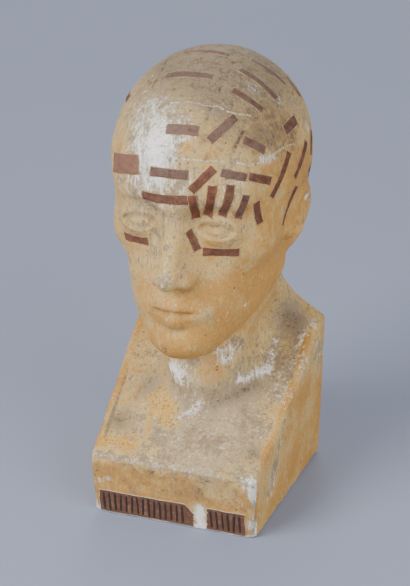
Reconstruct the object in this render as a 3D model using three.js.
// Phrenology head: a plaster bust cast in one piece with printed paper labels glued to it.
// Millimetres, +Z up, the face looks toward -Y. The origin is the middle of the underside.
import * as THREE from 'three'

// the block that stands for chest and shoulders
const frontWidth = 100
const rearWidth = 110.8
const blockDepth = 115
const bandHeight = 39.5
const bandOverhang = 4.9 // how far the top of the front band stands out past its foot
const shoulderHeight = 94
const shoulderLedge = 14 // flat top of the shoulders, front to back
const sideFlare = 2.4 // how far each side stands out at shoulder height
const chestSag = 3.5 // hollow of the chest slope
const chestTwist = 2.5 // how much lower its right half lies, and the left half higher
const edgeSoftness = 4
const footSoftness = 2

// the head and neck
const headHeight = 165 // from chin to crown
const headWidth = 112
const headDepth = 131 // of the skull, from forehead to back
const chinHeight = 105
const headSetBack = 12 // the ears lie this far behind the middle of the block
const neckWidth = 70
const neckSetBack = 20

// the papers
const paperThickness = 0.4
const paperGap = 0.3
const labelWidth = 5
const titleHeight = 16
const titleFootClearance = 1.2
const titleSideClearance = 4.5
const titleTear = 8 // bare plaster between the two halves of the torn title
const titleTearPlace = 17 // middle of the tear, to the right of the middle of the block
const tornCorner = 5

// how finely the surfaces are faceted
const frontColumns = 7
const sideColumns = 10
const rearColumns = 5
const fineReach = 105 // degrees to each side of the nose that have twice as many columns
const coarseFrom = 112 // degrees beyond which every second row of the head is left out
const footRings = 2
const sideRows = 6
const chestRows = 5
const neckRows = 5
const faceRows = 36
const crownRows = 10
const smoothingRounds = 12
const labelStations = 24 // places along a label at which the plaster is felt
const labelSlack = 0.35

const degree = Math.PI / 180
const frontY = -blockDepth / 2
const rearY = blockDepth / 2
const bandTopY = frontY - bandOverhang
const bandFaceLength = Math.hypot(bandHeight, bandOverhang)
const slopeRun = rearY - shoulderLedge - bandTopY
const slopeRise = shoulderHeight - bandHeight
const slopeCosine = slopeRun / Math.hypot(slopeRun, slopeRise)
const headCoreHeight = chinHeight + (headHeight * 80) / 165 // a little below the brow
// the head is drawn 112 parts wide, 131 parts deep and 165 parts high
const partX = headWidth / 112
const partY = headDepth / 131
const partZ = headHeight / 165
const part = Math.min(partX, partY, partZ)
const topHeight = chinHeight + headHeight

const clamp = (value, low, high) => Math.min(Math.max(value, low), high)
const mix = (a, b, t) => a + (b - a) * t

// Every form is a distance: negative inside, positive outside. A soft minimum joins two forms with a
// fillet, and a soft maximum cuts one by the other.
function join(a, b, softness) {
  const h = Math.max(softness - Math.abs(a - b), 0) / softness
  return Math.min(a, b) - (h * h * softness) / 4
}

const cut = (a, b, softness) => -join(-a, -b, softness)

// Distance across the middle plane, rounded so that the two halves meet without a ridge.
const aside = (x, softness) => Math.sqrt(x * x + softness * softness)

function turned(a, b, angle) {
  const s = Math.sin(angle * degree)
  const c = Math.cos(angle * degree)
  return [c * a + s * b, c * b - s * a]
}

// An ellipsoid, turned about Z by yaw, about Y by roll and about X by tilt.
function egg([x, y, z], centre, radii, { yaw = 0, roll = 0, tilt = 0 } = {}) {
  let u = x - centre[0]
  let v = y - centre[1]
  let w = z - centre[2]
  if (yaw) [u, v] = turned(u, v, yaw)
  if (roll) [u, w] = turned(u, w, roll)
  if (tilt) [v, w] = turned(v, w, tilt)
  const near = Math.hypot(u / radii[0], v / radii[1], w / radii[2]) + 1e-9
  const steep = Math.hypot(u / radii[0] ** 2, v / radii[1] ** 2, w / radii[2] ** 2) + 1e-9
  return (near * (near - 1)) / steep
}

// A round limb from one point to another, with a radius at each end.
function limb([x, y, z], start, end, startRadius, endRadius) {
  const d = [end[0] - start[0], end[1] - start[1], end[2] - start[2]]
  const along = (x - start[0]) * d[0] + (y - start[1]) * d[1] + (z - start[2]) * d[2]
  const t = clamp(along / (d[0] ** 2 + d[1] ** 2 + d[2] ** 2), 0, 1)
  const away = Math.hypot(x - start[0] - t * d[0], y - start[1] - t * d[1], z - start[2] - t * d[2])
  return away - mix(startRadius, endRadius, t)
}

// Height of the chest slope above the foot, which rises from the front band to the shoulders.
function slopeHeight(x, y) {
  const t = clamp((y - bandTopY) / slopeRun, 0, 1)
  const sag = chestSag + (chestTwist * x) / (frontWidth / 2)
  return bandHeight + slopeRise * t - sag * Math.sin(Math.PI * t)
}

const halfWidth = (y, z) =>
  mix(frontWidth, rearWidth, (y - frontY) / blockDepth) / 2 + (sideFlare * z) / shoulderHeight

// The neck with its two cords, and the shoulders that run out to the sides of the block.
function neck(x, y, z) {
  const p = [aside(x, 1.5), y, z]
  const width = neckWidth / 2
  const jawHeight = chinHeight + 41 * partZ
  const pit = slopeHeight(0, -15) + 16
  const column = egg([x, y, z], [0, neckSetBack, chinHeight + 13], [width, width + 2, 105], { tilt: -6 })
  const cords = limb(p, [width - 3, neckSetBack, jawHeight], [6, -15, pit], 8, 5)
  const shoulderEnd = [rearWidth / 2 - 9, rearY - 5, shoulderHeight - 8]
  const shoulders = limb(p, [8, neckSetBack + 20, shoulderHeight + 26], shoulderEnd, 16, 10)
  return join(join(column, cords, 12), shoulders, 18)
}

// Chest slope, neck and shoulders, cut off by the upright faces of the block.
function torso(x, y, z) {
  const slope = (z - slopeHeight(x, y)) * slopeCosine
  const crest = z - shoulderHeight - 3 * Math.cos((1.4 * x) / (frontWidth / 2))
  const hollow = [frontWidth / 2 - 13, rearY - 43.5, shoulderHeight + 3]
  const bandFace = -((y - frontY) * bandHeight + z * bandOverhang) / bandFaceLength
  let form = join(cut(slope, crest, 10), neck(x, y, z), 16)
  form = cut(form, -egg([aside(x, 1), y, z], hollow, [10, 22, 14], { tilt: 24 }), 14)
  form = cut(form, bandFace, edgeSoftness)
  form = cut(form, y - rearY, edgeSoftness)
  form = cut(form, Math.abs(x) - halfWidth(y, z), edgeSoftness)
  return cut(form, -z, footSoftness)
}

// From here on the forms of the head are in parts: x across, y back from the ears, z up from the chin.
function skull(p) {
  const dome = egg(p, [0, 0.5, 107.5], [56, 65.5, 57.3])
  const forehead = egg(p, [0, -25, 107], [47.5, 45, 46])
  const back = egg(p, [0, 24, 93], [47, 41, 40])
  return join(join(dome, forehead, 8), back, 10)
}

function cheeksAndJaw([x, y, z]) {
  const p = [aside(x, 1), y, z]
  const mask = egg([x, y, z], [0, -21, 63], [44, 42.5, 52], { tilt: 3 })
  const roundTheMouth = egg([x, y, z], [0, -39, 35], [30, 30.5, 24])
  const jaw = limb(p, [35, -6, 42], [12, -48, 12], 7, 8)
  const chin = egg([x, y, z], [0, -56, 11], [14, 13.5, 10.5])
  const cheekbone = egg(p, [33, -34, 70], [12, 16, 10])
  let form = join(mask, roundTheMouth, 16)
  form = join(form, jaw, 20)
  form = join(form, chin, 12)
  return join(form, cheekbone, 14)
}

function brow([x, y, z]) {
  return limb([aside(x, 3), y, z], [4, -62.5, 98], [31, -50.5, 101.5], 6.5, 5.5)
}

function nose([x, y, z]) {
  const p = [aside(x, 0.6), y, z]
  const bridge = limb([x, y, z], [0, -60, 92], [0, -74.5, 59.5], 5.4, 6)
  const root = limb([x, y, z], [0, -54, 85], [0, -65, 58], 7, 10)
  const tip = egg([x, y, z], [0, -77.2, 56.5], [6.6, 7.4, 6])
  const wings = egg(p, [7.9, -70, 55], [4.4, 7.4, 5])
  return join(join(join(bridge, root, 5), tip, 4), wings, 3)
}

// Blank eyes: a smooth ball, and lids round an almond opening between two arcs.
function addEyes(form, [x, y, z]) {
  const p = [Math.abs(x), y, z]
  const ball = egg(p, [21.8, -53.6, 83], [10.2, 9.4, 9.2])
  const lids = egg(p, [22, -53.4, 83], [13, 10.8, 10.8])
  const fromMiddle = Math.abs(x) - 22.2
  const upperArc = Math.hypot(fromMiddle + 0.6, z - 72.5) - 15.6
  const lowerArc = Math.hypot(fromMiddle - 0.6, z - 100) - 21
  const opening = cut(upperArc, lowerArc, 1)
  return join(join(form, cut(lids, -opening, 0.8), 5), ball, 0.6)
}

function addMouth(form, [x, y, z]) {
  const p = [aside(x, 1), y, z]
  const upperLip = limb(p, [2.5, -68.6, 37.6], [17.5, -61, 34.2], 4.6, 1.6)
  const lowerLip = limb(p, [0, -67.2, 29.2], [14.5, -61.5, 32], 5.2, 1.8)
  const parting = limb(p, [0, -74.4, 33.6], [18, -62.8, 33.3], 1.2, 0.4)
  const groove = limb([x, y, z], [0, -74.6, 41], [0, -73, 47], 1.4, 1.6)
  const nostrils = egg(p, [4, -72.5, 49], [2.2, 3.4, 2.4])
  let lips = join(join(form, upperLip, 5), lowerLip, 5)
  lips = cut(lips, -parting, 2.2)
  lips = cut(lips, -groove, 2.5)
  return cut(lips, -nostrils, 1.5)
}

// Ears in low relief, leaning back and lying close to the head.
function ear([x, y, z]) {
  const p = [Math.abs(x), y, z]
  const lean = { tilt: -10, yaw: -11, roll: 6 }
  const shell = egg(p, [49.6, 0, 73], [5.5, 13, 22], lean)
  const dish = egg(p, [55.4, -1.5, 76.5], [4.6, 8.8, 14.5], lean)
  const innerRidge = limb(p, [52.6, 3, 85], [51.3, 2, 66], 2.2, 2.6)
  const canal = egg(p, [54, -5.5, 70.5], [4.2, 4.5, 6])
  const flap = egg(p, [50.8, -10.8, 71], [3.2, 3.4, 5])
  let form = join(cut(shell, -dish, 2.5), innerRidge, 4)
  form = cut(form, -canal, 2)
  return join(form, flap, 3)
}

function bust(x, y, z) {
  const p = [x / partX, (y - headSetBack) / partY, (z - chinHeight) / partZ]
  const socket = egg([aside(p[0], 0.6), p[1], p[2]], [20.5, -69, 85], [14.5, 12.5, 10.5], { yaw: 14 })
  let head = join(skull(p), cheeksAndJaw(p), 16)
  head = join(head, brow(p), 10)
  head = cut(head, -socket, 10)
  let form = join(head, torso(x, y, z) / part, 8)
  form = join(form, nose(p), 6)
  form = addEyes(form, p)
  form = addMouth(form, p)
  return join(form, ear(p), 5) * part
}

// The point where a ray from inside the plaster first comes out. It walks by three quarters of the
// distance that is left, then halves the last step.
function surfacePoint(origin, target) {
  const ray = new THREE.Ray(origin, target.clone().sub(origin).normalize())
  const point = new THREE.Vector3()
  const depth = (t) => {
    ray.at(t, point)
    return bust(point.x, point.y, point.z)
  }
  let inside = 0
  let outside = 0
  for (let step = 0; step < 400; step += 1) {
    const left = -depth(outside)
    if (left < 0) break
    inside = outside
    outside += Math.max(left * 0.75, 0.1)
  }
  for (let step = 0; step < 14; step += 1) {
    const middle = (inside + outside) / 2
    if (depth(middle) <= 0) inside = middle
    else outside = middle
  }
  ray.at((inside + outside) / 2, point)
  return point
}

// Way that the plaster faces at a point, taken over the given reach.
function facing(point, reach) {
  const slope = ['x', 'y', 'z'].map((axis) => {
    const before = point.clone()
    const after = point.clone()
    before[axis] -= reach
    after[axis] += reach
    return bust(after.x, after.y, after.z) - bust(before.x, before.y, before.z)
  })
  return new THREE.Vector3(...slope).normalize()
}

// Moves a point that is near the surface onto it.
function settle(point) {
  for (let step = 0; step < 3; step += 1) {
    const away = clamp(bust(point.x, point.y, point.z), -1.5, 1.5)
    point.addScaledVector(facing(point, 0.15), -0.9 * away)
  }
  return point
}

// Outline of the foot, from the middle of the front round the right side to the middle of the rear.
function halfOutline() {
  const front = frontWidth / 2
  const rear = rearWidth / 2
  const turn = 3
  const points = []
  const run = (from, to, count) => {
    for (let i = 0; i < count; i += 1) {
      points.push([mix(from[0], to[0], i / count), mix(from[1], to[1], i / count)])
    }
  }
  run([0, frontY], [front - turn, frontY], frontColumns)
  run([front - turn, frontY], [front, frontY], 1)
  run([front, frontY], [front, frontY + turn], 1)
  run([front, frontY + turn], [rear, rearY - turn], sideColumns)
  run([rear, rearY - turn], [rear, rearY], 1)
  run([rear, rearY], [rear - turn, rearY], 1)
  run([rear - turn, rearY], [0, rearY], rearColumns)
  points.push([0, rearY])
  return points
}

// Value of a line through points that lie at even or uneven places.
function along(places, values, t) {
  let i = 0
  while (i < places.length - 2 && t > places[i + 1]) i += 1
  return mix(values[i], values[i + 1], clamp((t - places[i]) / (places[i + 1] - places[i]), 0, 1))
}

const core = new THREE.Vector3(0, 0, bandHeight * 0.76)
const headCore = new THREE.Vector3(0, headSetBack, headCoreHeight)

// Where a column passes from the chest to the neck.
function neckFoot(azimuth) {
  const x = (neckWidth / 2 + 6) * Math.sin(azimuth)
  const y = neckSetBack - 2 - (neckWidth / 2 + 7) * Math.cos(azimuth)
  const rise = slopeRise * clamp((y - bandTopY) / slopeRun, 0, 1)
  const nape = 20 * Math.max(-Math.cos(azimuth), 0)
  return new THREE.Vector3(x, y, bandHeight + rise + nape + 2)
}

// Where a column passes from the neck to the jaw or the back of the head.
function jawLine(azimuth) {
  const places = [0, 0.35, 0.6, 1]
  const share = Math.abs(azimuth) / Math.PI
  const reach = along(places, [24, 36, 38, 44], share)
  const height = chinHeight + partZ * along(places, [7, 23, 35, 45], share)
  const y = headSetBack - partY * (2 + reach * Math.cos(azimuth))
  return new THREE.Vector3(partX * reach * Math.sin(azimuth), y, height)
}

// Height at which the chest or the shoulders meet the upright faces of the block.
function brinkHeight(x, y) {
  const from = new THREE.Vector3(0.94 * x, 0.94 * y, bandHeight / 2)
  const top = surfacePoint(from, from.clone().setZ(bandHeight)).z
  return Math.min(top, shoulderHeight + 9)
}

// The rays of one column from the middle of the foot up to the jaw, each from a place inside the bust
// to a target near its surface.
function bodyRays([x, y], azimuth) {
  const rays = []
  const edge = brinkHeight(x, y)
  for (let ring = 1; ring <= footRings; ring += 1) {
    const share = 0.97 * (1 - (1 - ring / footRings) ** 1.5)
    rays.push([core, new THREE.Vector3(x * share, y * share, 0)])
  }
  for (let row = 0; row <= sideRows; row += 1) {
    const s = row / sideRows
    const share = 0.35 * s + 0.65 * (0.5 - 0.5 * Math.cos(Math.PI * s))
    const out = y < 0 ? bandOverhang * share : 0
    rays.push([core, new THREE.Vector3(x * 1.01, y - out, edge * (0.01 + 0.98 * share))])
  }
  const brink = new THREE.Vector3(x, y, edge)
  for (let row = 1; row <= chestRows; row += 1) {
    rays.push([core, brink.clone().lerp(neckFoot(azimuth), row / chestRows)])
  }
  for (let row = 1; row <= neckRows; row += 1) {
    const s = row / neckRows
    rays.push([core.clone().lerp(headCore, s), neckFoot(azimuth).lerp(jawLine(azimuth), s)])
  }
  return rays
}

// The rays of one column over the head, from the jaw nearly to the crown. The rows lie closest
// together between chin and brow.
function headRays(azimuth) {
  const jaw = jawLine(azimuth).sub(headCore)
  const lowest = Math.atan2(jaw.z, Math.hypot(jaw.x, jaw.y))
  const jawAzimuth = Math.atan2(jaw.x, -jaw.y)
  const browLine = 22 * degree
  const rays = []
  for (let row = 1; row < faceRows + crownRows; row += 1) {
    const share = along([0, 0.16, 0.82, 1], [0, 0.24, 0.76, 1], row / faceRows)
    const overBrow = Math.max(row - faceRows, 0) / crownRows
    const elevation = mix(mix(lowest, browLine, share), 90 * degree, overBrow)
    const turn = mix(jawAzimuth, azimuth, clamp((3 * row) / (faceRows + crownRows), 0, 1))
    const flat = 80 * Math.cos(elevation)
    const target = new THREE.Vector3(flat * Math.sin(turn), -flat * Math.cos(turn), 80 * Math.sin(elevation))
    rays.push([headCore, target.add(headCore)])
  }
  return rays
}

// The faceted bust: columns of points that run from the middle of the foot up to the crown, with
// shorter columns between them over the face.
function bustGeometry() {
  const outline = halfOutline()
  const last = outline.length - 1
  const vertices = [new THREE.Vector3(0, 0, 0)]
  const free = [false]
  const jawRow = footRings + sideRows + 1 + chestRows + neckRows
  const brinkRow = footRings + sideRows + 2
  const topRow = jawRow + faceRows + crownRows
  const addPoint = (row, point, isFree) => {
    vertices.push(point)
    free.push(isFree)
    return { row, index: vertices.length - 1 }
  }
  const azimuthAt = (place) => {
    const share = place <= last ? place / last : 2 - place / last
    return Math.sign(last - place + 1e-6) * Math.PI * (0.7 * share + 0.3 * share ** 2)
  }
  const crown = addPoint(topRow, surfacePoint(headCore, new THREE.Vector3(0, headSetBack, topHeight)), false)
  const headColumn = (azimuth, isShort) => {
    const column = []
    headRays(azimuth).forEach(([origin, target], i) => {
      const row = jawRow + 1 + i
      if (isShort && i >= faceRows) return
      if (Math.abs(azimuth) > coarseFrom * degree && i % 2 === 1 && i < faceRows) return
      column.push(addPoint(row, surfacePoint(origin, target), i < faceRows - 2))
    })
    return column
  }
  const longColumns = []
  const shortColumns = []
  for (let i = 0; i < 2 * last; i += 1) {
    const azimuth = azimuthAt(i)
    const [x, y] = outline[i <= last ? i : 2 * last - i]
    const rays = bodyRays([Math.sign(azimuth) * x, y], azimuth)
    const body = rays.map(([origin, target], k) => {
      return addPoint(k + 1, surfacePoint(origin, target), k + 1 > brinkRow)
    })
    vertices[body[0].index].z = 0
    longColumns.push([{ row: 0, index: 0 }, ...body, ...headColumn(azimuth, false), crown])
    const between = azimuthAt(i + 0.5)
    shortColumns.push(Math.abs(between) < fineReach * degree ? headColumn(between, true) : [])
  }
  const stitch = () => {
    const triangles = []
    longColumns.forEach((left, i) => {
      const right = longColumns[(i + 1) % longColumns.length]
      const short = shortColumns[i]
      if (short.length === 0) {
        zip(left, right, vertices, triangles)
        return
      }
      const below = right.filter((point) => point.row < short[0].row)
      const above = right.filter((point) => point.row > short.at(-1).row)
      zip(left, [...below, ...short, ...above], vertices, triangles)
      const middle = right.slice(below.length - 1, right.length - above.length + 1)
      zip([below.at(-1), ...short, above[0]], middle, vertices, triangles)
    })
    return triangles
  }
  smoothOut(vertices, stitch(), free)
  return closedGeometry(vertices, stitch())
}

// Fills the strip between two neighbouring columns. It goes up whichever column has the lower next
// row, and takes the shorter diagonal where the rows are level.
function zip(left, right, vertices, triangles) {
  const distance = (a, b) => vertices[a.index].distanceTo(vertices[b.index])
  let i = 0
  let j = 0
  while (i < left.length - 1 || j < right.length - 1) {
    const nextLeft = left[i + 1]
    const nextRight = right[j + 1]
    let goLeft = Boolean(nextLeft)
    if (nextLeft && nextRight) {
      goLeft = nextLeft.row < nextRight.row
      if (nextLeft.row === nextRight.row) goLeft = distance(right[j], nextLeft) < distance(left[i], nextRight)
    }
    const next = goLeft ? nextLeft : nextRight
    const corners = [left[i].index, right[j].index, next.index]
    if (new Set(corners).size === 3) triangles.push(corners)
    if (goLeft) i += 1
    else j += 1
  }
}

// Evens out the spacing of the free points, and keeps them on the surface.
function smoothOut(vertices, triangles, free) {
  const neighbours = vertices.map(() => new Set())
  for (const corners of triangles) {
    corners.forEach((corner, k) => neighbours[corner].add(corners[(k + 1) % 3]))
    corners.forEach((corner, k) => neighbours[corner].add(corners[(k + 2) % 3]))
  }
  for (let round = 0; round < smoothingRounds; round += 1) {
    const moved = vertices.map((vertex, i) => {
      if (!free[i]) return vertex
      const mean = new THREE.Vector3()
      neighbours[i].forEach((other) => mean.add(vertices[other]))
      mean.divideScalar(neighbours[i].size)
      return settle(vertex.clone().lerp(mean, 0.6))
    })
    moved.forEach((vertex, i) => vertices[i].copy(vertex))
  }
}

function closedGeometry(vertices, triangles) {
  const geometry = new THREE.BufferGeometry()
  const positions = vertices.flatMap((v) => [v.x, v.y, v.z])
  geometry.setAttribute('position', new THREE.Float32BufferAttribute(positions, 3))
  geometry.setIndex(triangles.flat())
  geometry.computeVertexNormals()
  return geometry
}

// A strip of paper laid over the plaster: points fall straight back onto the facets at many places
// along both edges and the middle, and as few of them as will do become the corners of the strip.
function labelGeometry(plaster, label) {
  const { around, above, turn } = label
  const length = label.length * labelWidth
  const width = (label.width ?? 1) * labelWidth
  const inward = new THREE.Vector3(
    -Math.sin(around * degree) * Math.cos(above * degree),
    Math.cos(around * degree) * Math.cos(above * degree),
    -Math.sin(above * degree),
  )
  const caster = new THREE.Raycaster()
  const drop = (from, direction) => {
    caster.set(from.clone().addScaledVector(direction, -headDepth), direction)
    return caster.intersectObject(plaster)[0].point
  }
  const centre = drop(headCore, inward)
  const normal = facing(centre, 4)
  const level = new THREE.Vector3(0, 0, 1).cross(normal).normalize()
  const lengthwise = level.clone().applyAxisAngle(normal, turn * degree)
  const crosswise = normal.clone().cross(lengthwise)
  const back = normal.clone().negate()
  const stations = []
  for (let i = 0; i <= labelStations; i += 1) {
    const from = centre.clone().addScaledVector(lengthwise, (i / labelStations - 0.5) * length)
    const low = drop(from.clone().addScaledVector(crosswise, -width / 2), back)
    const high = drop(from.clone().addScaledVector(crosswise, width / 2), back)
    const middle = drop(from, back)
    stations.push({ low, middle, high, out: facing(middle, 3) })
  }
  let count = 1
  do count += 1
  while (liftNeeded(stations, count) > labelSlack && count < labelStations / 2)
  const lift = liftNeeded(stations, count) + paperGap
  const corners = []
  for (const raise of [lift, lift + paperThickness]) {
    for (const side of ['low', 'high']) {
      for (let i = 0; i <= count; i += 1) {
        const station = stations[Math.round((i * labelStations) / count)]
        corners.push(station[side].clone().addScaledVector(station.out, raise))
      }
    }
  }
  return stripGeometry(corners, count)
}

// How far the plaster stands out past a strip with that many straight lengths.
function liftNeeded(stations, count) {
  let most = 0
  for (let k = 0; k < count; k += 1) {
    const first = Math.round((k * labelStations) / count)
    const last = Math.round(((k + 1) * labelStations) / count)
    const start = stations[first]
    const end = stations[last]
    for (let i = first; i <= last; i += 1) {
      const t = (i - first) / (last - first)
      const low = start.low.clone().lerp(end.low, t)
      const high = start.high.clone().lerp(end.high, t)
      const middle = low.clone().lerp(high, 0.5)
      const chord = { low, middle, high }
      for (const side of ['low', 'middle', 'high']) {
        most = Math.max(most, stations[i][side].clone().sub(chord[side]).dot(stations[i].out))
      }
    }
  }
  return most
}

// Closes a strip given as four rows of points: lower side 1, lower side 2, upper side 1, upper side 2.
function stripGeometry(vertices, segments) {
  const row = segments + 1
  const loop = [0, row, 3 * row, 2 * row]
  const triangles = []
  for (let i = 0; i < segments; i += 1) {
    loop.forEach((start, k) => {
      const next = loop[(k + 1) % 4]
      triangles.push([start + i, next + i, next + i + 1])
      triangles.push([start + i, next + i + 1, start + i + 1])
    })
  }
  const end = segments
  triangles.push([loop[0], loop[2], loop[1]], [loop[0], loop[3], loop[2]])
  triangles.push([loop[0] + end, loop[1] + end, loop[2] + end])
  triangles.push([loop[0] + end, loop[2] + end, loop[3] + end])
  return closedGeometry(vertices, triangles)
}

// Labels by where their middles lie, seen from the middle of the head: degrees around from the front
// toward the right ear, degrees above the eyes, and the turn of the strip from level. Lengths, and
// widths other than the usual, are in label widths.
const skullLabels = [
  { name: 'label_crown', around: -60, above: 87, turn: 62, length: 5.4 },
  { name: 'label_top_of_forehead', around: -11, above: 70.5, turn: 14, length: 5.4 },
  { name: 'label_parting_front', around: 46, above: 59, turn: -55, length: 4 },
  { name: 'label_parting_middle', around: 68, above: 65.5, turn: -73, length: 5.2 },
  { name: 'label_parting_rear', around: 99, above: 67, turn: -84, length: 4.8 },
  { name: 'label_right_crown_edge', around: 114, above: 54, turn: -100, length: 2.8 },
  { name: 'label_right_upper_side', around: 75.5, above: 45, turn: 8, length: 3, width: 1.2 },
  { name: 'label_right_forehead_slant', around: 24.3, above: 46.7, turn: 34, length: 4.2 },
  { name: 'label_upper_forehead', around: 2.5, above: 45, turn: 0, length: 3.6, width: 1.2 },
  { name: 'label_right_forehead_corner', around: 41.5, above: 40, turn: -36, length: 3 },
  { name: 'label_left_temple_large', around: -29.5, above: 27.5, turn: 17, length: 5, width: 2.2 },
  { name: 'label_middle_forehead', around: -1.5, above: 28, turn: 2, length: 4.4 },
  { name: 'label_between_brows', around: -3.8, above: 17.5, turn: 3, length: 5.5 },
  { name: 'label_nose_root', around: 10.6, above: 12.8, turn: -82, length: 2.8 },
  { name: 'label_right_brow_1', around: 17.5, above: 16.5, turn: -98, length: 4.1 },
  { name: 'label_right_brow_2', around: 25.3, above: 16.8, turn: -103, length: 3.9 },
  { name: 'label_right_brow_3', around: 32.8, above: 14.2, turn: -104, length: 3 },
  { name: 'label_right_brow_4', around: 42, above: 9.8, turn: -74, length: 3 },
  { name: 'label_right_forehead_low', around: 14, above: 26.6, turn: 45, length: 3.6 },
  { name: 'label_right_temple_inner', around: 28.8, above: 28.5, turn: -18, length: 3.1 },
  { name: 'label_right_temple_outer', around: 43.3, above: 25.9, turn: -22, length: 3.3 },
  { name: 'label_right_side_1', around: 59, above: 25.5, turn: -127, length: 5.4 },
  { name: 'label_right_side_2', around: 81, above: 28, turn: -136, length: 4.6 },
  { name: 'label_right_above_ear', around: 72, above: 5, turn: -113, length: 4.6 },
  { name: 'label_right_rear_upper', around: 101.5, above: 30.5, turn: -118, length: 2.8 },
  { name: 'label_right_rear_lower', around: 101, above: 15, turn: -60, length: 2.4 },
  { name: 'label_left_under_eye', around: -24, above: -9, turn: 8, length: 3.6 },
  { name: 'label_nose_side', around: 9, above: -3, turn: -68, length: 2.4 },
  { name: 'label_right_under_eye', around: 23, above: -9.5, turn: -2, length: 4 },
  { name: 'label_left_side_1', around: -62, above: 26, turn: 122, length: 4.8 },
  { name: 'label_left_side_2', around: -84, above: 30, turn: 118, length: 4.4 },
  { name: 'label_left_upper_side', around: -72, above: 50, turn: 12, length: 4 },
  { name: 'label_left_above_ear', around: -76, above: 7, turn: 108, length: 3.6 },
  { name: 'label_left_rear', around: -112, above: 22, turn: 0, length: 4 },
  { name: 'label_rear_upper', around: 180, above: 48, turn: 0, length: 4.8 },
  { name: 'label_rear_middle', around: 180, above: 22, turn: 90, length: 4.4 },
  { name: 'label_rear_left', around: -146, above: 12, turn: -20, length: 4 },
  { name: 'label_rear_right', around: 146, above: 14, turn: 24, length: 4 },
  { name: 'label_rear_right_upper', around: 136, above: 44, turn: 60, length: 4 },
  { name: 'label_rear_left_upper', around: -136, above: 46, turn: -56, length: 4 },
]

// The title is a flat band of paper low on the front, torn through, with a corner missing at the tear.
function titleOutline(points) {
  const shape = new THREE.Shape(points.map(([x, y]) => new THREE.Vector2(x, y)))
  return new THREE.ExtrudeGeometry(shape, { depth: paperThickness, bevelEnabled: false })
}

const titleReach = frontWidth / 2 - titleSideClearance
const tearLeft = titleTearPlace - titleTear / 2
const tearRight = titleTearPlace + titleTear / 2
const titleHalves = {
  title_label_left: [
    [-titleReach, 0],
    [tearLeft, 0],
    [tearLeft, titleHeight - tornCorner],
    [tearLeft - tornCorner, titleHeight],
    [-titleReach - 0.8, titleHeight],
  ],
  title_label_right: [
    [tearRight - 0.8, 0],
    [titleReach - 1, 0],
    [titleReach - 1, titleHeight],
    [tearRight, titleHeight],
  ],
}

function placeOnBand(mesh) {
  const lean = Math.atan2(bandOverhang, bandHeight)
  mesh.rotation.x = Math.PI / 2 + lean
  const out = new THREE.Vector3(0, -Math.cos(lean), -Math.sin(lean))
  const up = new THREE.Vector3(0, -Math.sin(lean), Math.cos(lean))
  mesh.position.set(0, frontY, 0)
  mesh.position.addScaledVector(up, titleFootClearance).addScaledVector(out, paperGap)
}

const plasterPaint = () => new THREE.MeshStandardMaterial({ color: 0xbfa673, roughness: 0.85, metalness: 0 })
const labelPaper = () => new THREE.MeshStandardMaterial({ color: 0x7a4a3c, roughness: 0.8, metalness: 0 })

function named(name, geometry, material) {
  const mesh = new THREE.Mesh(geometry, material)
  mesh.name = name
  return mesh
}

const group = new THREE.Group()
const plasterBust = named('plaster_bust', bustGeometry(), plasterPaint())
plasterBust.updateMatrixWorld()
group.add(plasterBust)
for (const label of skullLabels) {
  group.add(named(label.name, labelGeometry(plasterBust, label), labelPaper()))
}
for (const [name, points] of Object.entries(titleHalves)) {
  const half = named(name, titleOutline(points), labelPaper())
  placeOnBand(half)
  group.add(half)
}

export default group
